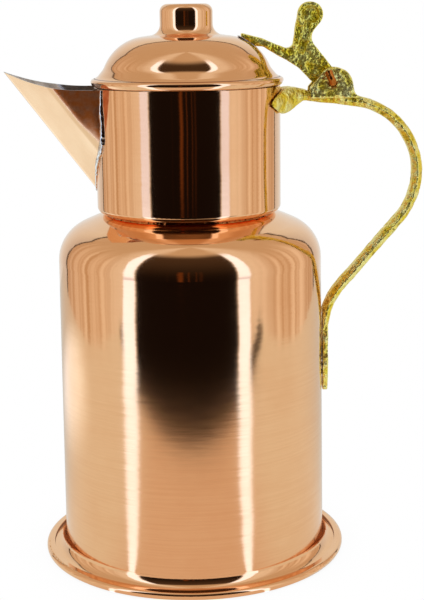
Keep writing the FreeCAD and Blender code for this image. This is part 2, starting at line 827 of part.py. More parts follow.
def make_lever_solder():
    """Tin bead on the dome round three sides of the lever's tang."""
    body = new_body("lever_solder")
    low = f"({tang_tip} - lever_bead)"
    high = f"({tang_tip} + 6 * lever_bead)"
    inner_half = "(lever_thickness / 2 + solder_gap)"
    outer_half = "(lever_thickness / 2 + lever_bead)"
    bead = dome_region(body, "Bead", "lever_bead")
    turn(body, "Revolution", bead, f"(2 * asin({outer_half} / {low}))")
    turn(body, "Groove", dome_region(body, "DomeSide", "solder_gap"))
    for name, near, far, half in (
        ("Front", "0", low, f"(2 * {outer_half})"),
        ("Back", high, f"(2 * {high})", f"(2 * {outer_half})"),
        ("Tang", f"({tang_tip} - solder_gap)", f"(2 * {high})", inner_half),
    ):
        block = new_sketch(body, name, "XY_Plane")
        trace(block, [(near, f"-{half}"), (far, f"-{half}"), (far, half), (near, half)])
        pocket(body, block)
    return body


def make_hinge_pin():
    """Pin with a hammered head at the far ear and its tail bent over the near ear."""
    body = new_body("hinge_pin")
    far = f"({fork_width} / 2 + seam_gap)"
    near = f"({fork_width} / 2 + pin_bend + seam_gap)"
    spine = new_sketch(body, "Spine", "XZ_Plane")
    trace(spine, [
        ("0", far),
        ("0", f"-{near}", "pin_bend"),
        ("(pin_bend + pin_tail)", f"-{near}"),
    ], closed=False)
    section = new_sketch(body, "Section", "XY_Plane", far)
    circle(section, ("0", "0"), "pin_radius")
    shank = body.newObject("PartDesign::AdditivePipe", "hinge_pin_Shank")
    shank.Profile = section
    shank.Spine = (spine, [""])
    head = new_sketch(body, "Head", "XZ_Plane")
    trace(head, [
        ("0", far),
        ("pin_head", far),
        ("pin_head", f"({far} + pin_head_edge)"),
        ("pin_head_flat", f"({far} + pin_head_height)"),
        ("0", f"({far} + pin_head_height)"),
    ])
    turn(body, "Revolution", head)
    tilt = math.radians(number("pin_tail_angle"))
    tail_way = Vector(-math.sin(tilt), 0, math.cos(tilt))
    pin_way = Vector(0, 1, 0)
    body.Placement = Placement(Vector(), Rotation(tail_way, pin_way.cross(tail_way), pin_way))
    body.setExpression("Placement.Base.x", bound(hinge_x))
    body.setExpression("Placement.Base.z", bound(hinge_z))
    return body


parts = [
    make_body_shell(),
    make_base_plate(),
    make_foot_solder(),
    make_neck_shell(),
    make_neck_solder(),
    make_spout(),
    make_spout_solder(),
    make_handle(),
    make_saddle_solder(),
    make_leaf_solder(),
    make_hinge_pin(),
    make_lid_shell(),
    make_lid_collar(),
    make_collar_solder(),
    make_hinge_lever(),
    make_lever_solder(),
]
doc.recompute()

failed = [item.Name for item in doc.Objects if "Invalid" in item.State or "Error" in item.State]
if failed:
    raise RuntimeError(f"objects failed to build: {failed}")
for part in parts:
    if part.Shape.isNull() or not part.Shape.isValid():
        raise RuntimeError(f"{part.Label} has no valid shape")

os.makedirs("parts", exist_ok=True)
for part in parts:
    part.Shape.exportStep(f"parts/{part.Label}.step")
    box = part.Shape.BoundBox
    print(part.Label, len(part.Shape.Solids), round(part.Shape.Volume, 1), box)
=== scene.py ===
import math
from types import SimpleNamespace

import bmesh
import bpy
from mathutils import Euler, Matrix, Vector, noise


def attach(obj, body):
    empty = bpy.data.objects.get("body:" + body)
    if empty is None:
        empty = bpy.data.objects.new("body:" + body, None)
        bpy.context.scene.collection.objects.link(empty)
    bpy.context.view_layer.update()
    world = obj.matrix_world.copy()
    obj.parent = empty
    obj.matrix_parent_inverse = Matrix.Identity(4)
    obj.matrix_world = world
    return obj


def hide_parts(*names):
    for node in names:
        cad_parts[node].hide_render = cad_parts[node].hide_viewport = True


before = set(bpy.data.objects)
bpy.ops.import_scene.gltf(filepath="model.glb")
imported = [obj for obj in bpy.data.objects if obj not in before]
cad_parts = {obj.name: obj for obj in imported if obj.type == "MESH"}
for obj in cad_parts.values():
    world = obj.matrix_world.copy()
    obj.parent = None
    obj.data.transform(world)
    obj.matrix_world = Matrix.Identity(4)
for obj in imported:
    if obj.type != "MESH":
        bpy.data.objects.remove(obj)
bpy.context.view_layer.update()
scene = bpy.context.scene
scene.view_settings.view_transform = "Standard"
MM = 0.001

# Linear colours of the metals
COPPER = (0.930, 0.550, 0.295)
COPPER_DEEP = (0.820, 0.400, 0.180)
COPPER_PALE = (0.970, 0.660, 0.400)
# Scorch colour that also paints shade on the beak's upright walls
COPPER_SCORCH_AND_SHADE = (0.600, 0.150, 0.025)
# Grime colour that also paints shade into the seams between parts
COPPER_GRIME_AND_SHADE = (0.200, 0.070, 0.025)
TINNED = (0.640, 0.625, 0.600)
TINNED_DULL = (0.330, 0.315, 0.295)
TIN = (0.420, 0.370, 0.310)
TIN_PALE = (0.780, 0.740, 0.690)
TIN_DARK = (0.110, 0.090, 0.070)
BRASS = (0.950, 0.730, 0.050)
BRASS_PALE = (1.000, 0.890, 0.300)
BRASS_LEVER = (0.970, 0.760, 0.030)
BRASS_LEVER_PALE = (1.000, 0.900, 0.200)
BRASS_PIT = (0.160, 0.110, 0.008)
PIN_COPPER = (0.420, 0.110, 0.010)
PIN_PALE = (0.600, 0.190, 0.030)
PIN_DARK = (0.070, 0.014, 0.003)

# Linear colours of the light tent and the table
WHITE = (1.0, 1.0, 1.0)
CLOTH = (0.900, 0.850, 0.800)
CLOTH_SHADE = (0.580, 0.440, 0.310)
CLOTH_LIT = (0.880, 0.880, 0.880)
ROOF = (0.620, 0.520, 0.410)
BACKDROP = (0.820, 0.860, 0.860)
BACKDROP_SIDE = (0.640, 0.670, 0.730)
BACKDROP_EDGE = (0.100, 0.085, 0.070)
FRONT_DARK = (0.008, 0.005, 0.004)
FRONT_HIGH = (0.070, 0.045, 0.028)
FRONT_WARM = (0.130, 0.042, 0.012)
LAMP = (1.350, 1.750, 2.600)
LAMP_LOW = (0.950, 1.120, 1.700)
# Table colours are light painted into its glow: warm bounce in front, shade at the front edge, glare and a
# pool of lamplight
PAPER = (0.800, 0.820, 0.790)
PAPER_REAR = (0.660, 0.680, 0.650)
PAPER_FRONT_BOUNCE = (0.740, 0.620, 0.530)
PAPER_EDGE_SHADE = (0.030, 0.020, 0.014)
PAPER_GLARE = (1.400, 1.800, 2.600)
PAPER_POOL = (1.150, 1.350, 1.550)

# Camera: place in metres, sensor and focal length in millimetres, turns in degrees
CAMERA_PLACE = (0.0, -0.578, 0.2358)
CAMERA_SENSOR = 36.0
CAMERA_LENS = 82.68
CAMERA_DIP = 12.37
CAMERA_YAW = -0.90
CAMERA_ROLL = -0.77

# Light tent: changes (start, end) and bands (start, end, softness), in degrees from the front or the level
ROOF_RISE = (15.0, 55.0)
CLOTH_LIT_SIDES = (40.0, 74.0, 12.0)
CLOTH_LIT_SHARE = 0.8
BACKDROP_TURN = (128.0, 158.0)
FRONT_OPENING = (-48.0, 40.0, 1.6)
FRONT_TOP = (52.0, 67.0)
FRONT_FADE = (-10.0, 62.0)
STREAK_MAIN = (-10.0, -6.5, 1.5)
STREAK_SIDES = (-16.0, 16.0, 5.0)
STREAK_HEIGHTS = (-8.5, 16.0, 1.5)
LAMP_LEFT = (-60.0, -49.0, 1.0)
LAMP_RIGHT = (41.0, 51.5, 1.0)
LAMP_TOP = (52.0, 66.0)
LAMP_LOW_HEIGHTS = (-9.5, -2.0, 1.0)

# Backdrop: half its width and its height over its distance, and where its edge and its face begin
BACKDROP_HALF = 1.00
BACKDROP_HEIGHT = 0.95
BACKDROP_EDGE_START = (-0.045, -0.030)
BACKDROP_FACE_START = (0.010, 0.030)

# Table: places in metres, and degrees round from the front
TABLE_LEFT, TABLE_RIGHT = -0.46, 0.46
TABLE_FRONT, TABLE_BACK = -0.30, 0.55
TABLE_EDGE_FADE = (-0.265, -0.240)
TABLE_SIDES = (25.0, 60.0)
TABLE_REAR = (95.0, 150.0)
GLARE_LEFT = (-61.0, -47.0, 3.0)
GLARE_LEFT_FOOT = (-0.0265, -0.0495)
GLARE_RIGHT = (39.0, 52.0, 3.0)
GLARE_RIGHT_FOOT = (0.0225, -0.0515)
POOL_PLACE = (-0.285, 0.17, 0.0)
POOL_RADII = (0.05, 0.19)
# Painted contact shadow: the floor glows, and ambient occlusion darkens its glow near the foot
CONTACT_REACH = 0.03
CONTACT_SHADOW_TONE = 0.93

# Spun copper: tilt of the skin, and change of roughness
RING_TILT = 0.020
FINE_TILT = 0.022
WAVE_TILT = 0.030
COMB_TILT = 0.045
FINE_ROUGHNESS = 0.05
SMUDGE_ROUGHNESS = 0.05
SATIN_ROUGHNESS = 0.055
SCORCH_AND_SHADE_ROUGHNESS = 0.30
GRIME_AND_SHADE_ROUGHNESS = 0.25
TINNED_ROUGHNESS = 0.22

# Spun copper: heights in metres between which a finish begins or ends
SATIN_FOOT = (0.006, 0.010)
SATIN_TOP = (0.076, 0.104)
NECK_FLOOR = (0.160, 0.161)
LID_ROOF = (0.205, 0.206)
DISC_FLOOR = (0.0015, 0.0018)

# Rings of grime and painted shade in the seams: least and greatest radius, least and greatest height, and
# softness, in millimetres
BODY_GRIME_AND_SHADE = (61.75, 62.1, 1.8, 2.4)
BASE_GRIME_AND_SHADE = (61.7, 61.95, 1.9, 3.0)
LID_GRIME_AND_SHADE = (38.2, 38.7, 203.5, 204.5)
GRIME_AND_SHADE_SOFTNESS = 0.15

# Cast metal: shares of the stains, hollows and rubbed edges in its colour and roughness; the rubbed edges'
# pale colour is partly a painted highlight
STAIN_SHARE = 0.55
HOLLOW_SHARE = 0.35
EDGE_WEAR_AND_HIGHLIGHT_SHARE = 0.60
STAIN_ROUGHNESS = 0.25
EDGE_ROUGHNESS = -0.12

# Sizes in millimetres, as in the CAD model
SHEET = 1.0
NECK_SIDE = 38.65

# Lid: corners of its section as radius, height and bend radius
LID_RIM = [(36.9, 200.51), (39.2, 200.51, 1.3)]
LID_COVE = [(40.4, 203.2, 1.2), (37.4, 204.2, 4.5), (34.6, 207.6, 8.0)]
LID_SEAT = [(40.2, 203.81, 1.2), (35.9, 203.81, 2.0)]
LID_DOME = [(29.2, 219.15, 20.0), (10.9, 221.49, 4.5), (10.9, 233.61, 3.2), (0.0, 233.61)]
LID_STEP = 0.35
LID_TURNS = 240

# Beak: tip, start of the swept edge and its radius, slope of the keel, and its section across and up
BEAK_TIP = (-75.9, 207.109)
BEAK_LEVEL = (-42.0, 199.909)
BEAK_SWEEP = 83.406
BEAK_KEEL = math.radians(53.0)
BEAK_FOLD = [(-17.4, 32.0), (-14.8, 12.9, 6.0), (0.0, -0.9, 2.5), (14.8, 12.9, 6.0), (17.4, 32.0)]
BEAK_LONGEST = 80.0
BEAK_FLARE = 1.6
BEAK_FLARE_LEVEL = 17.5
BEAK_FLARE_SPREAD = 4.5
BEAK_FLARE_START = 0.45
BEAK_BEND_STEP = 0.2
BEAK_ROWS = 121
BEAK_STEPS = 40
BEAK_DENT_SIDE = 0.07
BEAK_DENT_UP = 0.05

# Bead of solder: half its thickness at the ends, what it gains between them, and its unevenness
BEAD_THIN = 0.62
BEAD_GAIN = 0.75
BEAD_GAIN_RATE = 1.15
BEAD_LUMPS = 0.22
BEAD_RIPPLE = 0.10
BEAD_STANDOFF = 0.1
BEAD_FLATNESS = 0.85
BEAD_SIDES = 14

# Saddle of the handle: heights, depth off the neck, half width, and shares of change
SADDLE_FOOT = 180.0
SADDLE_LEVEL = 194.0
SADDLE_TOP = 199.6
SADDLE_DEPTH = 10.0
SADDLE_REACH = 13.3
SADDLE_SPREAD = 0.32
SADDLE_DROOP = 0.45
SADDLE_DROOP_POWER = 2.5
SADDLE_BELLY = 0.16
SADDLE_BELLY_PLACE = (4.0, 3.5)
SADDLE_WAIST = 0.10
SADDLE_WAIST_PLACE = (0.0, 1.5)

# Lever: its dish, channel, solid web and tang, with each hollow's outer and inner radius
THUMB = (51.0, 228.609)
DISH_DEPTH = 1.05
DISH_RADII = (4.1, 2.4)
CHANNEL_FOOT = (47.3, 214.2)
CHANNEL_DEPTH = 0.85
CHANNEL_RADII = (2.0, 0.6)
WEB_SIDES = (0.8, 1.9)
TANG_TIP = 22.3
TANG_LENGTH = 11.0
TANG_LINE = 229.4
TANG_FALL = 0.44
TANG_BELOW = 0.6
TANG_RISE = 1.1

# Skin of a casting: grain of its lumps and pits, in millimetres, and the levels they are taken from
LUMP_SIZES = (5.0, 2.1)
LUMP_LEVEL = 0.8
PIT_SIZE = 1.3
PIT_LEVEL = 0.30
PIT_OFFSET = Vector((31.0, 7.0, 3.0))

# Mesh building
WELD = 0.002 * MM
SHARP_BEND = math.radians(50.0)
HALVINGS = 50

# Sockets of a colour mix node
MIX_SHARE, MIX_FIRST, MIX_SECOND, MIX_RESULT = 0, 6, 7, 2


def wire(tree, socket, value):
    """Feed a socket from another socket, or set its own value."""
    if isinstance(value, bpy.types.NodeSocket):
        tree.links.new(value, socket)
    elif isinstance(value, tuple) and socket.type == "RGBA":
        socket.default_value = (*value, 1.0)
    else:
        socket.default_value = value


def add(tree, kind, settings=None, inputs=None):
    """New node with its settings and inputs given by name."""
    node = tree.nodes.new(kind)
    for name, value in (settings or {}).items():
        setattr(node, name, value)
    for name, value in (inputs or {}).items():
        wire(tree, node.inputs[name], value)
    return node


def math_node(tree, operation, *values):
    node = add(tree, "ShaderNodeMath", {"operation": operation})
    for socket, value in zip(node.inputs, values):
        wire(tree, socket, value)
    return node.outputs[0]


def vector_node(tree, operation, *values):
    node = add(tree, "ShaderNodeVectorMath", {"operation": operation})
    for socket, value in zip(node.inputs, values):
        wire(tree, socket, value)
    return node.outputs["Value" if operation in ("DOT_PRODUCT", "LENGTH") else "Vector"]


def scaled(tree, vector, factor):
    node = add(tree, "ShaderNodeVectorMath", {"operation": "SCALE"}, {"Scale": factor})
    wire(tree, node.inputs[0], vector)
    return node.outputs[0]


def combine(tree, x, y, z):
    return add(tree, "ShaderNodeCombineXYZ", None, {"X": x, "Y": y, "Z": z}).outputs[0]


def separate(tree, vector):
    return add(tree, "ShaderNodeSeparateXYZ", None, {"Vector": vector}).outputs


def step_up(tree, value, low, high, out_low=0.0, out_high=1.0):
    """Smooth change from one level to another as a value goes from low to high."""
    node = add(tree, "ShaderNodeMapRange", {"interpolation_type": "SMOOTHSTEP"}, {
        "Value": value, "From Min": low, "From Max": high, "To Min": out_low, "To Max": out_high,
    })
    return node.outputs[0]


def step_down(tree, value, low, high):
    """Smooth change from one to zero as a value goes from low to high."""
    return step_up(tree, value, low, high, out_low=1.0, out_high=0.0)


def mixed(tree, share, first, second):
    """Colour between a first and a second one."""
    node = add(tree, "ShaderNodeMix", {"data_type": "RGBA"})
    wire(tree, node.inputs[MIX_SHARE], share)
    wire(tree, node.inputs[MIX_FIRST], first)
    wire(tree, node.inputs[MIX_SECOND], second)
    return node.outputs[MIX_RESULT]


def grain(tree, vector, scale, detail=2.0, rough=0.5):
    """Fractal noise about one half."""
    node = add(tree, "ShaderNodeTexNoise", None, {
        "Vector": vector, "Scale": scale, "Detail": detail, "Roughness": rough,
    })
    return node.outputs["Fac"]


def band(tree, value, low, high, soft):
    """One between low and high, zero outside, with soft edges."""
    rise = step_up(tree, value, low - soft, low + soft)
    fall = step_down(tree, value, high - soft, high + soft)
    return both(tree, rise, fall)


def either(tree, first, second):
    return math_node(tree, "MAXIMUM", first, second)


def both(tree, first, second):
    return math_node(tree, "MULTIPLY", first, second)


def compass(tree, x, y):
    """Degrees round the upright axis from the front, with the right as plus."""
    forward = math_node(tree, "MULTIPLY", y, -1.0)
    return math_node(tree, "DEGREES", math_node(tree, "ARCTAN2", x, forward))


def camera_sees(tree):
    return add(tree, "ShaderNodeLightPath").outputs["Is Camera Ray"]


def new_material(name):
    """Empty material, with its node tree and the socket that its shader goes to."""
    material = bpy.data.materials.new(name)
    material.use_nodes = True
    tree = material.node_tree
    tree.nodes.clear()
    output = add(tree, "ShaderNodeOutputMaterial")
    return material, tree, output.inputs["Surface"]


def place_camera():
    """Camera a little above the lid, looking down at the pot from the front."""
    data = bpy.data.cameras.new("camera")
    data.sensor_fit = "AUTO"
    data.sensor_width = CAMERA_SENSOR
    data.lens = CAMERA_LENS
    data.clip_start = 0.01
    data.clip_end = 20.0
    camera = bpy.data.objects.new("camera", data)
    scene.collection.objects.link(camera)
    yaw = Euler((0, 0, math.radians(CAMERA_YAW))).to_matrix()
    pitch = Euler((math.radians(90.0 - CAMERA_DIP), 0, 0)).to_matrix()
    roll = Euler((0, 0, math.radians(CAMERA_ROLL))).to_matrix()
    turn = yaw @ pitch @ roll
    camera.matrix_world = Matrix.Translation(CAMERA_PLACE) @ turn.to_4x4()
    scene.camera = camera


def tent_walls(tree, level, height, flank):
    """Cloth that hangs in folds, paler beside the lamps and duller at the roof."""
    folds = step_up(tree, grain(tree, level, scale=9.0, detail=3.0, rough=0.6), 0.32, 0.68)
    cloth = mixed(tree, folds, CLOTH_SHADE, CLOTH)
    cloth = mixed(tree, step_up(tree, height, *ROOF_RISE), cloth, ROOF)
    lit = band(tree, flank, *CLOTH_LIT_SIDES)
    return mixed(tree, both(tree, lit, CLOTH_LIT_SHARE), cloth, CLOTH_LIT)


def tent_backdrop(tree, way, flank, light):
    """Square backdrop behind the pot, inside a dark edge."""
    x, y, z = way
    half = math_node(tree, "MULTIPLY", y, BACKDROP_HALF)
    wide = math_node(tree, "SUBTRACT", half, math_node(tree, "ABSOLUTE", x))
    tall = math_node(tree, "SUBTRACT", math_node(tree, "MULTIPLY", y, BACKDROP_HEIGHT), z)
    inset = math_node(tree, "MINIMUM", wide, tall)
    light = mixed(tree, step_up(tree, inset, *BACKDROP_EDGE_START), light, BACKDROP_EDGE)
    face = mixed(tree, step_up(tree, flank, *BACKDROP_TURN), BACKDROP_SIDE, BACKDROP)
    return mixed(tree, step_up(tree, inset, *BACKDROP_FACE_START), light, face)


def tent_front(tree, level, around, height, light):
    """Dark room beyond the open front, with a few warm streaks in it."""
    room = mixed(tree, step_up(tree, height, *FRONT_FADE), FRONT_DARK, FRONT_HIGH)
    streaks = step_up(tree, grain(tree, level, scale=16.0), 0.50, 0.66)
    streaks = either(tree, streaks, band(tree, around, *STREAK_MAIN))
    reach = both(tree, band(tree, around, *STREAK_SIDES), band(tree, height, *STREAK_HEIGHTS))
    room = mixed(tree, both(tree, streaks, reach), room, FRONT_WARM)
    opening = both(tree, band(tree, around, *FRONT_OPENING), step_down(tree, height, *FRONT_TOP))
    return mixed(tree, opening, light, room)


def tent_lamps(tree, around, height, light):
    """Upright strip lamp at each side of the front, dimmer a little below the level."""
    lamps = either(tree, band(tree, around, *LAMP_LEFT), band(tree, around, *LAMP_RIGHT))
    lamps = both(tree, lamps, step_down(tree, height, *LAMP_TOP))
    glow = mixed(tree, band(tree, height, *LAMP_LOW_HEIGHTS), LAMP, LAMP_LOW)
    return mixed(tree, lamps, light, glow)


def build_world():
    """White round the object, and in reflections a light tent with an open front."""
    world = bpy.data.worlds.new("light_tent")
    scene.world = world
    world.use_nodes = True
    tree = world.node_tree
    tree.nodes.clear()
    way = separate(tree, add(tree, "ShaderNodeTexCoord").outputs["Generated"])
    x, y, z = way
    around = compass(tree, x, y)
    height = math_node(tree, "DEGREES", math_node(tree, "ARCSINE", z))
    flank = math_node(tree, "ABSOLUTE", around)
    level = vector_node(tree, "NORMALIZE", combine(tree, x, y, 0.0))
    light = tent_walls(tree, level, height, flank)
    light = tent_backdrop(tree, way, flank, light)
    light = tent_front(tree, level, around, height, light)
    light = tent_lamps(tree, around, height, light)
    colour = mixed(tree, camera_sees(tree), light, WHITE)
    background = add(tree, "ShaderNodeBackground", None, {"Color": colour, "Strength": 1.0})
    output = add(tree, "ShaderNodeOutputWorld")
    tree.links.new(background.outputs[0], output.inputs["Surface"])


def glare(tree, x, y, foot, sides):
    """Painted streak of lamplight on the table, which spreads from a place at the pot's foot."""
    across = math_node(tree, "SUBTRACT", x, foot[0])
    away = math_node(tree, "SUBTRACT", y, foot[1])
    return band(tree, compass(tree, across, away), *sides)


def table_paper(tree):
    """Paper on the table, all its light painted into its glow: warm bounce light in front, lamplight, and
    shade at its front edge.
    """
    spot = add(tree, "ShaderNodeNewGeometry").outputs["Position"]
    x, y, _ = separate(tree, spot)
    flank = math_node(tree, "ABSOLUTE", compass(tree, x, y))
    # Painted warm bounce light from the copper on the table in front of the pot
    paper = mixed(tree, step_up(tree, flank, *TABLE_SIDES), PAPER_FRONT_BOUNCE, PAPER)
    paper = mixed(tree, step_up(tree, flank, *TABLE_REAR), paper, PAPER_REAR)
    # Painted shade at the table's front edge
    paper = mixed(tree, step_up(tree, y, *TABLE_EDGE_FADE), PAPER_EDGE_SHADE, paper)
    left = glare(tree, x, y, GLARE_LEFT_FOOT, GLARE_LEFT)
    right = glare(tree, x, y, GLARE_RIGHT_FOOT, GLARE_RIGHT)
    paper = mixed(tree, either(tree, left, right), paper, PAPER_GLARE)
    # Painted pool of lamplight on the table
    off_pool = vector_node(tree, "LENGTH", vector_node(tree, "SUBTRACT", spot, POOL_PLACE))
    return mixed(tree, step_down(tree, off_pool, *POOL_RADII), paper, PAPER_POOL)


def build_floor():
    """Pale table that ends at the tent's walls and at its open front."""
    mesh = bpy.data.meshes.new("floor")
    corners = [
        (TABLE_LEFT, TABLE_FRONT, 0), (TABLE_RIGHT, TABLE_FRONT, 0),
        (TABLE_RIGHT, TABLE_BACK, 0), (TABLE_LEFT, TABLE_BACK, 0),
    ]
    mesh.from_pydata(corners, [], [(0, 1, 2, 3)])
    floor = bpy.data.objects.new("floor", mesh)
    scene.collection.objects.link(floor)
    material, tree, surface = new_material("floor_white")
    # The floor glows instead of being lit; the camera sees white with a painted contact shadow near the
    # foot
    contact = add(tree, "ShaderNodeAmbientOcclusion", {"samples": 8}, {"Distance": CONTACT_REACH})
    shade = step_up(tree, contact.outputs["AO"], 0.0, 1.0, out_low=CONTACT_SHADOW_TONE)
    colour = mixed(tree, camera_sees(tree), table_paper(tree), combine(tree, shade, shade, shade))
    glow = add(tree, "ShaderNodeEmission", None, {"Color": colour, "Strength": 1.0})
    tree.links.new(glow.outputs[0], surface)
    mesh.materials.append(material)


def turned_to(tree, vector, kind, start, end):
    """A vector or normal carried between the object's space and the world's."""
    settings = {"vector_type": kind, "convert_from": start, "convert_to": end}
    return add(tree, "ShaderNodeVectorTransform", settings, {"Vector": vector}).outputs[0]


def spun_frame(tree):
    """Places and ways on a piece spun about the upright axis."""
    place = add(tree, "ShaderNodeTexCoord").outputs["Object"]
    x, y, z = separate(tree, place)
    level = combine(tree, x, y, 0.0)
    radius = vector_node(tree, "LENGTH", level)
    outward = vector_node(tree, "NORMALIZE", level)
    around = vector_node(tree, "CROSS_PRODUCT", (0.0, 0.0, 1.0), outward)
    around = turned_to(tree, around, "VECTOR", "OBJECT", "WORLD")
    normal = add(tree, "ShaderNodeNewGeometry").outputs["Normal"]
    return SimpleNamespace(
        place=place, y=y, z=z, radius=radius, outward=outward, around=around, normal=normal,
        across=vector_node(tree, "CROSS_PRODUCT", around, normal),
        along=math_node(tree, "SUBTRACT", z, radius),
        facing=turned_to(tree, normal, "NORMAL", "WORLD", "OBJECT"),
    )


def off_half(tree, value, share):
    """A noise value's distance from one half, times a share."""
    return math_node(tree, "MULTIPLY", math_node(tree, "SUBTRACT", value, 0.5), share)


def tilted(tree, normal, tilt):
    return vector_node(tree, "NORMALIZE", vector_node(tree, "ADD", normal, tilt))


def ring_grain(tree, spun, turn_scale, line_scale, detail):
    """Noise drawn out into rings round the axis."""
    x, y, _ = separate(tree, scaled(tree, spun.outward, turn_scale))
    line = math_node(tree, "MULTIPLY", spun.along, line_scale)
    return grain(tree, combine(tree, x, y, line), 1.0, detail, rough=0.6)


def ring_mask(tree, spun, ring):
    """One inside a ring given by its radii and heights in millimetres, with soft edges."""
    least, greatest, low, high = [size * MM for size in ring]
    wide = band(tree, spun.radius, least, greatest, GRIME_AND_SHADE_SOFTNESS * MM)
    return both(tree, wide, band(tree, spun.z, low, high, GRIME_AND_SHADE_SOFTNESS * MM))


def copper_material(name, metal, stretch, shine, inside, brushed=False, scorch_and_shade=False, grime_and_shade=None):
    """Spun copper with turning lines, tinned inside; brushed low down; where asked, scorched walls and
    grimy seams, both with painted shade.
    """
    material, tree, surface = new_material(name)
    spun = spun_frame(tree)
    ring_lines = ring_grain(tree, spun, turn_scale=4.0, line_scale=900.0, detail=3.0)
    fine_lines = ring_grain(tree, spun, turn_scale=5.0, line_scale=3000.0, detail=2.0)
    waves = grain(tree, spun.place, scale=45.0, detail=1.0)
    smudge = grain(tree, spun.place, scale=28.0, detail=4.0, rough=0.65)
    side = math_node(tree, "ADD", off_half(tree, fine_lines, FINE_TILT), off_half(tree, waves, WAVE_TILT))
    tilt_across = scaled(tree, spun.across, off_half(tree, ring_lines, RING_TILT))
    tilt = vector_node(tree, "ADD", scaled(tree, spun.around, side), tilt_across)
    normal = tilted(tree, spun.normal, tilt)
    roughness = math_node(tree, "ADD", off_half(tree, fine_lines, FINE_ROUGHNESS), shine)
    roughness = math_node(tree, "ADD", roughness, off_half(tree, smudge, SMUDGE_ROUGHNESS))
    colour = mixed(tree, step_up(tree, smudge, 0.35, 0.75, out_high=0.30), metal, COPPER_DEEP)
    line_tone = step_up(tree, fine_lines, 0.25, 0.75, out_low=0.12, out_high=0.0)
    colour = mixed(tree, line_tone, colour, COPPER_DEEP)
    if brushed:
        satin = both(tree, step_up(tree, spun.z, *SATIN_FOOT), step_down(tree, spun.z, *SATIN_TOP))
        roughness = math_node(tree, "MULTIPLY_ADD", satin, SATIN_ROUGHNESS, roughness)
        strokes = ring_grain(tree, spun, turn_scale=1.2, line_scale=1500.0, detail=3.0)
        stroke_tone = step_up(tree, strokes, 0.35, 0.62, out_low=0.22, out_high=0.0)
        colour = mixed(tree, both(tree, satin, stroke_tone), colour, COPPER_DEEP)
        comb = both(tree, satin, off_half(tree, strokes, COMB_TILT))
        normal = tilted(tree, normal, scaled(tree, spun.around, comb))
    # Mottled brown on the beak's upright walls: scorch and painted shade
    if scorch_and_shade:
        scorch_and_shade_mask = scorch_and_shade_walls(tree, spun)
        colour = mixed(tree, scorch_and_shade_mask, colour, COPPER_SCORCH_AND_SHADE)
        roughness = math_node(tree, "MULTIPLY_ADD", scorch_and_shade_mask, SCORCH_AND_SHADE_ROUGHNESS, roughness)
    # Dark ring of grime with painted shade where parts meet
    if grime_and_shade is not None:
        grime_and_shade_mask = ring_mask(tree, spun, grime_and_shade)
        colour = mixed(tree, grime_and_shade_mask, colour, COPPER_GRIME_AND_SHADE)
        roughness = math_node(tree, "MULTIPLY_ADD", grime_and_shade_mask, GRIME_AND_SHADE_ROUGHNESS, roughness)
    tinned = inside(tree, spun)
    cloud = step_up(tree, grain(tree, spun.place, scale=160.0, detail=5.0, rough=0.6), 0.3, 0.7)
    colour = mixed(tree, tinned, colour, mixed(tree, cloud, TINNED_DULL, TINNED))
    roughness = math_node(tree, "MULTIPLY_ADD", tinned, TINNED_ROUGHNESS, roughness)
    shader = add(tree, "ShaderNodeBsdfPrincipled", None, {
        "Base Color": colour, "Metallic": 1.0, "Roughness": roughness, "Anisotropic": stretch,
        "Tangent": spun.across, "Normal": normal,
    })
    tree.links.new(shader.outputs[0], surface)
    return material


def outward_share(tree, spun):
    """How far a face looks away from the axis."""
    return vector_node(tree, "DOT_PRODUCT", spun.facing, spun.outward)


def upward_share(tree, spun):
    """How far a face looks up."""
    return separate(tree, spun.facing)[2]


def faces_axis(tree, spun):
    return step_down(tree, outward_share(tree, spun), -0.25, -0.15)


def faces_up(tree, spun):
    return step_up(tree, upward_share(tree, spun), 0.4, 0.6)


def inside_wall(tree, spun):
    """Inner face of the body: it looks towards the axis, or down."""
    turn = math_node(tree, "ADD", outward_share(tree, spun), upward_share(tree, spun))
    return step_down(tree, turn, -0.05, 0.05)


def inside_neck(tree, spun):
    """Inner face of the neck's wall, and the upper face of its floor."""
    floor = both(tree, faces_up(tree, spun), step_down(tree, spun.z, *NECK_FLOOR))
    return either(tree, faces_axis(tree, spun), floor)


def inside_lid(tree, spun):
    """Inner face of the dome and knob."""
    down = step_down(tree, upward_share(tree, spun), -0.6, -0.4)
    roof = both(tree, down, step_up(tree, spun.z, *LID_ROOF))
    return either(tree, faces_axis(tree, spun), roof)


def inside_floor(tree, spun):
    """Upper face of the bottom disc."""
    return both(tree, faces_up(tree, spun), step_down(tree, spun.z, *DISC_FLOOR))


def beak_side_turn(tree, spun):
    """Plus on the beak's outer faces, minus on its inner ones."""
    side = math_node(tree, "MULTIPLY", spun.y, 1.0 / MM)
    return math_node(tree, "MULTIPLY", side, separate(tree, spun.facing)[1])


def inside_beak(tree, spun):
    """Inner faces and cut edge of the beak."""
    hollow = step_down(tree, beak_side_turn(tree, spun), -0.06, -0.02)
    edge = step_up(tree, upward_share(tree, spun), 0.75, 0.85)
    return either(tree, hollow, edge)


def scorch_and_shade_walls(tree, spun):
    """Upright outer faces of the beak, scorched unevenly when it was soldered on, with painted shade in the
    same mottled brown.
    """
    outer = step_up(tree, beak_side_turn(tree, spun), 1.0, 4.0)
    sideways = math_node(tree, "ABSOLUTE", separate(tree, spun.facing)[1])
    upright = step_up(tree, sideways, 0.86, 0.96)
    mottle = grain(tree, spun.place, scale=330.0, detail=4.0, rough=0.65)
    blotch = step_up(tree, mottle, 0.30, 0.62, out_low=0.72)
    return both(tree, both(tree, outer, upright), blotch)


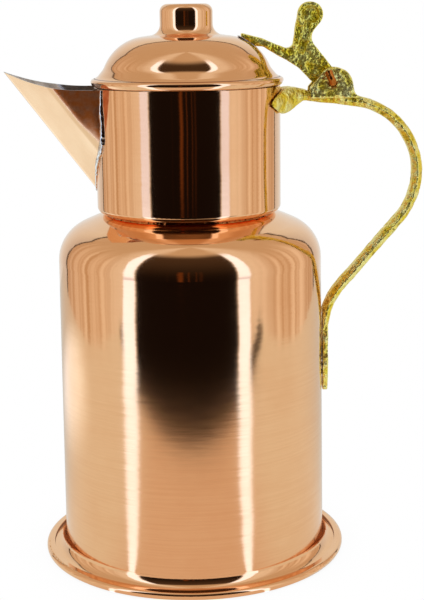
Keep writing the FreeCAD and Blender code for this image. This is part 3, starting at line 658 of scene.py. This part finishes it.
def cast_material(name, face, pale, pit, pit_level, shine, bare, relief):
    """Sand-cast metal: dull pitted skin, more or less bare, rubbed bright along its edges, with painted
    highlights there too.
    """
    material, tree, surface = new_material(name)
    place = add(tree, "ShaderNodeTexCoord").outputs["Object"]
    bend = add(tree, "ShaderNodeNewGeometry").outputs["Pointiness"]
    edges = step_up(tree, bend, 0.502, 0.535)
    hollows = step_down(tree, bend, 0.455, 0.497)
    coarse = grain(tree, place, scale=210.0, detail=1.0)
    small = grain(tree, place, scale=520.0, detail=1.0)
    height = math_node(tree, "MULTIPLY_ADD", small, 0.5, math_node(tree, "MULTIPLY", coarse, 0.5))
    stain = step_down(tree, height, pit_level - 0.07, pit_level + 0.05)
    colour = mixed(tree, step_up(tree, coarse, 0.36, 0.66), face, pale)
    colour = mixed(tree, both(tree, stain, STAIN_SHARE), colour, pit)
    colour = mixed(tree, both(tree, hollows, HOLLOW_SHARE), colour, pit)
    # Pale rubbed edges: wear and a painted highlight
    colour = mixed(tree, both(tree, edges, EDGE_WEAR_AND_HIGHLIGHT_SHARE), colour, pale)
    roughness = math_node(tree, "MULTIPLY_ADD", stain, STAIN_ROUGHNESS, shine)
    roughness = math_node(tree, "MULTIPLY_ADD", edges, EDGE_ROUGHNESS, roughness)
    bump = add(tree, "ShaderNodeBump", None, {"Strength": 1.0, "Distance": relief, "Height": height})
    shader = add(tree, "ShaderNodeBsdfPrincipled", None, {
        "Base Color": colour, "Metallic": bare, "Roughness": roughness, "Normal": bump.outputs[0],
    })
    tree.links.new(shader.outputs[0], surface)
    return material


def ease(value, low, high):
    """Smooth rise from zero to one as a value goes from low to high."""
    share = min(1.0, max(0.0, (value - low) / (high - low)))
    return share * share * (3.0 - 2.0 * share)


def hump(value, middle, spread):
    """One at the middle, falling to zero on both sides."""
    return math.exp(-((value - middle) / spread) ** 2)


def lump(spot, size):
    """Noise of about the given grain at a spot, between minus one and one."""
    return noise.noise(spot / size)


def halve(rule, low, high):
    """Where a falling rule passes zero."""
    for _ in range(HALVINGS):
        middle = (low + high) / 2.0
        if rule(middle) > 0.0:
            low = middle
        else:
            high = middle
    return low


def shifted(corners, gap):
    """A bent path moved a gap to its left; each corner is across, up and, between the ends, a radius."""
    spots = [Vector(corner[:2]) for corner in corners]
    ways = [(after - before).normalized() for before, after in zip(spots, spots[1:])]
    sides = [Vector((-way.y, way.x)) for way in ways]
    moved = [(*(spots[0] + sides[0] * gap),)]
    for index in range(1, len(corners) - 1):
        first, second = sides[index - 1], sides[index]
        spot = spots[index] + (first + second) * (gap / (1.0 + first.dot(second)))
        to_left = ways[index - 1].cross(ways[index]) > 0.0
        moved.append((*spot, corners[index][2] + (-gap if to_left else gap)))
    moved.append((*(spots[-1] + sides[-1] * gap),))
    return moved


def bent_path(corners, step):
    """Points along straight runs joined by round bends, a step or less apart in the bends."""
    points = [Vector(corners[0][:2])]
    for before, corner, after in zip(corners, corners[1:], corners[2:]):
        spot = Vector(corner[:2])
        into = (spot - Vector(before[:2])).normalized()
        out = (Vector(after[:2]) - spot).normalized()
        bend = math.atan2(into.cross(out), into.dot(out))
        start = spot - into * (corner[2] * math.tan(abs(bend) / 2.0))
        arm = Vector((into.y, -into.x)) * math.copysign(corner[2], bend)
        count = max(3, math.ceil(corner[2] * abs(bend) / step))
        for index in range(count + 1):
            points.append(start - arm + Matrix.Rotation(bend * index / count, 2) @ arm)
    points.append(Vector(corners[-1][:2]))
    return points


def evenly(points, count):
    """The same path as a number of evenly spread points."""
    marks = [0.0]
    for before, after in zip(points, points[1:]):
        marks.append(marks[-1] + (after - before).length)
    result = []
    place = 0
    for index in range(count):
        mark = marks[-1] * index / (count - 1)
        while place < len(marks) - 2 and marks[place + 1] < mark:
            place += 1
        share = (mark - marks[place]) / max(marks[place + 1] - marks[place], 1e-9)
        result.append(points[place].lerp(points[place + 1], min(share, 1.0)))
    return result


def skin_between(shape, rows, closed):
    """Quads between neighbouring rows of vertices, and round each row where it is closed."""
    for near, far in zip(rows, rows[1:]):
        count = len(near)
        for index in range(count if closed else count - 1):
            after = (index + 1) % count
            shape.faces.new([near[index], near[after], far[after], far[index]])


def smooth(mesh):
    for face in mesh.polygons:
        face.use_smooth = True


def stand_for(piece, body, node):
    """Let a new piece move with a body and stand for a CAD node."""
    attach(piece, body)
    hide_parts(node)


def finish_mesh(shape, name, material, body, node):
    """Turn a built shape into a piece that stands for a CAD node."""
    bmesh.ops.remove_doubles(shape, verts=shape.verts, dist=WELD)
    bmesh.ops.recalc_face_normals(shape, faces=shape.faces)
    mesh = bpy.data.meshes.new(name)
    shape.to_mesh(mesh)
    shape.free()
    smooth(mesh)
    mesh.set_sharp_from_angle(angle=SHARP_BEND)
    mesh.materials.append(material)
    piece = bpy.data.objects.new(name, mesh)
    scene.collection.objects.link(piece)
    stand_for(piece, body, node)


def spun_lid(material):
    """Spun lid: rim turned in below, cove, dome and hollow knob, with a flat seat for the collar inside."""
    outer = bent_path(LID_RIM + LID_COVE + LID_DOME, LID_STEP)
    inner = bent_path(shifted(LID_RIM + LID_SEAT + LID_DOME, SHEET), LID_STEP)
    inner[-1].x = 0.0
    loop = outer + inner[::-1]
    shape = bmesh.new()
    rows = []
    for spot in loop + loop[:1]:
        ring = []
        for index in range(LID_TURNS):
            angle = math.tau * index / LID_TURNS
            place = Vector((spot.x * math.cos(angle), spot.x * math.sin(angle), spot.y))
            ring.append(shape.verts.new(place * MM))
        rows.append(ring)
    skin_between(shape, rows, True)
    bmesh.ops.dissolve_degenerate(shape, edges=shape.edges, dist=WELD)
    finish_mesh(shape, "lid_spun", material, "lid", "lid_shell")


def beak_spot(across, up, run):
    """Place in the beak: across it, up square to the keel, and a run down along the keel from the tip."""
    x = BEAK_TIP[0] + run * math.cos(BEAK_KEEL) + up * math.sin(BEAK_KEEL)
    z = BEAK_TIP[1] - run * math.sin(BEAK_KEEL) + up * math.cos(BEAK_KEEL)
    return Vector((x, across, z))


def over_edge(spot):
    """Height of a place above the beak's top edge, which is level by the neck and sweeps up to the tip."""
    back = min(0.0, spot.x - BEAK_LEVEL[0])
    return spot.z - BEAK_LEVEL[1] - BEAK_SWEEP + math.sqrt(BEAK_SWEEP ** 2 - back ** 2)


def beak_run_ends(across, up):
    """Runs along the keel at which a ruling leaves the top edge and meets the neck."""
    top = halve(lambda run: over_edge(beak_spot(across, up, run)), 0.0, BEAK_LONGEST)
    wall = -math.sqrt(NECK_SIDE ** 2 - across ** 2)
    root = (wall - BEAK_TIP[0] - up * math.sin(BEAK_KEEL)) / math.cos(BEAK_KEEL)
    return top, root


def beak_flare(across, up, share):
    """How far the wall above the fold swells outward towards its root."""
    level = hump(up, BEAK_FLARE_LEVEL, BEAK_FLARE_SPREAD)
    return math.copysign(BEAK_FLARE * ease(share, BEAK_FLARE_START, 1.0) * level, across)


def beak_rows(corners):
    """One face of the folded beak as rows of places from the top edge to the neck."""
    bend = Vector(corners[-2][:2])
    way = Vector(corners[-1][:2]) - bend

    def room(share):
        top, root = beak_run_ends(*(bend + way * share))
        return root - top

    brim = bend + way * halve(room, 0.0, 1.0)
    ends = [(-brim.x, brim.y), *corners[1:-1], (brim.x, brim.y)]
    rows = []
    for spot in evenly(bent_path(ends, BEAK_BEND_STEP), BEAK_ROWS):
        row = []
        for index in range(BEAK_STEPS + 1):
            share = index / BEAK_STEPS
            across = spot.x + beak_flare(spot.x, spot.y, share)
            top, root = beak_run_ends(across, spot.y)
            row.append(beak_spot(across, spot.y, top + (root - top) * share))
        rows.append(row)
    return rows


def dented(spot):
    """A place on the beak, moved by the sheet's slight dents."""
    return spot + Vector((0.0, BEAK_DENT_SIDE * lump(spot, 9.0), BEAK_DENT_UP * lump(spot, 7.0)))


def folded_beak(material):
    """Beak folded from sheet: two flanks that meet at a keel and bend up into leaning walls."""
    outer = beak_rows(BEAK_FOLD)
    inner = beak_rows(shifted(BEAK_FOLD, SHEET))
    shape = bmesh.new()
    faces = []
    for rows in (outer, inner):
        skin = [[shape.verts.new(dented(spot) * MM) for spot in row] for row in rows]
        skin_between(shape, skin, False)
        faces.append(skin)
    for end in (0, -1):
        skin_between(shape, [[row[end] for row in skin] for skin in faces], False)
    bmesh.ops.dissolve_degenerate(shape, edges=shape.edges, dist=WELD)
    finish_mesh(shape, "spout_folded", material, "pot", "spout")
    return [row[-1] for row in outer]


def solder_bead(root, material):
    """Uneven bead of tin run along the beak's root on the neck."""
    shape = bmesh.new()
    rows = []
    count = len(root)
    for index, spot in enumerate(root):
        along = (root[min(index + 1, count - 1)] - root[max(index - 1, 0)]).normalized()
        outward = Vector((spot.x, spot.y, 0.0)).normalized()
        across = along.cross(outward).normalized()
        middle = 1.0 - abs(2.0 * index / (count - 1) - 1.0)
        gain = BEAD_GAIN * math.sin(math.pi * min(1.0, middle * BEAD_GAIN_RATE))
        size = BEAD_THIN + gain + BEAD_LUMPS * lump(spot, 3.0)
        ring = []
        for step in range(BEAD_SIDES):
            angle = math.tau * step / BEAD_SIDES
            off = BEAD_STANDOFF + size * BEAD_FLATNESS * math.cos(angle)
            place = spot + outward * off + across * (size * math.sin(angle))
            ring.append(shape.verts.new((place + outward * (BEAD_RIPPLE * lump(place, 1.6))) * MM))
        rows.append(ring)
    skin_between(shape, rows, True)
    shape.faces.new(rows[0])
    shape.faces.new(rows[-1])
    finish_mesh(shape, "spout_bead", material, "pot", "spout_solder")


def bell_saddle(spot):
    """Round the handle's saddle into a bell that hugs the neck."""
    off = math.hypot(spot.x, spot.y) - NECK_SIDE
    if off > SADDLE_DEPTH or spot.z < SADDLE_FOOT:
        return spot
    near = (1.0 - max(off, 0.0) / SADDLE_DEPTH) ** 2
    side = spot.y * (1.0 + SADDLE_SPREAD * near)
    fall = min(1.0, abs(spot.y) / SADDLE_REACH) ** SADDLE_DROOP_POWER
    belly = SADDLE_BELLY * hump(off, *SADDLE_BELLY_PLACE)
    waist = SADDLE_WAIST * hump(off, *SADDLE_WAIST_PLACE)
    tall = (1.0 + belly - waist) * (1.0 - SADDLE_DROOP * fall * near)
    z = SADDLE_LEVEL + (spot.z - SADDLE_LEVEL) * tall
    x = spot.x - (side * side - spot.y * spot.y) / (2.0 * NECK_SIDE)
    return Vector((x, side, min(z, SADDLE_TOP)))


def round_border(spot):
    """Sink the lever's dish and channel between round borders, and thicken the tang's tip."""
    flat = Vector((spot.x, spot.z))
    thumb = Vector(THUMB)
    stem = Vector(CHANNEL_FOOT) - thumb
    share = min(1.0, max(0.0, (flat - thumb).dot(stem) / stem.length_squared))
    dish = DISH_DEPTH * ease((flat - thumb).length, *DISH_RADII)
    channel = CHANNEL_DEPTH * ease((flat - thumb - stem * share).length, *CHANNEL_RADII)
    sunk = max(dish, channel) * ease(abs(spot.y), *WEB_SIDES)
    tip = max(0.0, 1.0 - (spot.x - TANG_TIP) / TANG_LENGTH)
    above = spot.z - (TANG_LINE - TANG_FALL * spot.x)
    rise = TANG_RISE * tip * max(0.0, min(1.0, above + TANG_BELOW))
    return Vector((spot.x, spot.y - math.copysign(sunk, spot.y), spot.z + rise))


def cast_rise(spot, swell, pits):
    """How far the uneven skin of a casting stands out at a spot."""
    coarse, fine = LUMP_SIZES
    rise = swell * (lump(spot, coarse) + 0.5 * lump(spot, fine) - LUMP_LEVEL)
    hole = max(0.0, lump(spot + PIT_OFFSET, PIT_SIZE) - PIT_LEVEL)
    return rise - pits * hole


def dense_copy(piece, voxel, rounds):
    """Even, dense mesh of a piece with its edges softened."""
    remesh = piece.modifiers.new("skin", "REMESH")
    remesh.mode = "VOXEL"
    remesh.voxel_size = voxel * MM
    soften = piece.modifiers.new("soften", "SMOOTH")
    soften.factor = 0.5
    soften.iterations = rounds
    graph = bpy.context.evaluated_depsgraph_get()
    dense = bpy.data.meshes.new_from_object(piece.evaluated_get(graph))
    piece.modifiers.clear()
    return dense


def cast_copy(node, body, material, voxel, rounds, swell, pits, rule=None):
    """Dense copy of a CAD node with the softened edges and uneven skin of a casting."""
    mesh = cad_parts[node].data.copy()
    mesh.materials.clear()
    piece = bpy.data.objects.new(f"{node}_cast", mesh)
    scene.collection.objects.link(piece)
    shape = bmesh.new()
    shape.from_mesh(mesh)
    bmesh.ops.remove_doubles(shape, verts=shape.verts, dist=WELD)
    shape.to_mesh(mesh)
    shape.free()
    dense = dense_copy(piece, voxel, rounds)
    piece.data = dense
    if rule is not None:
        for vertex in dense.vertices:
            vertex.co = rule(vertex.co / MM) * MM
        dense.update()
    normals = [vertex.normal.copy() for vertex in dense.vertices]
    for vertex, normal in zip(dense.vertices, normals):
        vertex.co += normal * (cast_rise(vertex.co / MM, swell, pits) * MM)
    dense.materials.append(material)
    smooth(dense)
    stand_for(piece, body, node)


def dress(node, material):
    """Give a CAD node that stays in view its material."""
    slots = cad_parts[node].material_slots
    if not slots:
        raise RuntimeError(f"{node} has no material slot")
    for slot in slots:
        slot.material = material


place_camera()
build_world()
build_floor()

body_copper = copper_material(
    "copper_body", COPPER, stretch=0.35, shine=0.080, inside=inside_wall, brushed=True, grime_and_shade=BODY_GRIME_AND_SHADE)
neck_copper = copper_material("copper_neck", COPPER, stretch=0.5, shine=0.080, inside=inside_neck)
lid_copper = copper_material(
    "copper_lid", COPPER, stretch=0.5, shine=0.080, inside=inside_lid, grime_and_shade=LID_GRIME_AND_SHADE)
base_copper = copper_material(
    "copper_base", COPPER, stretch=0.5, shine=0.080, inside=inside_floor, grime_and_shade=BASE_GRIME_AND_SHADE)
beak_copper = copper_material(
    "copper_beak", COPPER_PALE, stretch=0.0, shine=0.190, inside=inside_beak, scorch_and_shade=True)
brass = cast_material(
    "brass_cast", BRASS, BRASS_PALE, BRASS_PIT, pit_level=0.38, shine=0.40, bare=0.86, relief=0.0022)
lever_brass = cast_material(
    "brass_lever", BRASS_LEVER, BRASS_LEVER_PALE, BRASS_PIT,
    pit_level=0.34, shine=0.35, bare=0.78, relief=0.0030)
tin = cast_material(
    "tin_wiped", TIN, TIN_PALE, TIN_DARK, pit_level=0.42, shine=0.20, bare=1.0, relief=0.0012)
pin_metal = cast_material(
    "copper_pin", PIN_COPPER, PIN_PALE, PIN_DARK, pit_level=0.46, shine=0.38, bare=1.0, relief=0.0010)

dress("body_shell", body_copper)
dress("base_plate", base_copper)
dress("neck_shell", neck_copper)
dress("lid_collar", lid_copper)
dress("hinge_pin", pin_metal)
for node in ("foot_solder", "neck_solder", "saddle_solder", "leaf_solder", "collar_solder"):
    dress(node, tin)
spun_lid(lid_copper)
beak_root = folded_beak(beak_copper)
solder_bead(beak_root, tin)
cast_copy("handle", "pot", brass, voxel=0.42, rounds=8, swell=0.20, pits=0.50, rule=bell_saddle)
cast_copy(
    "hinge_lever", "lid", lever_brass,
    voxel=0.30, rounds=24, swell=0.16, pits=0.45, rule=round_border)
cast_copy("lever_solder", "lid", tin, voxel=0.20, rounds=3, swell=0.10, pits=0.10)
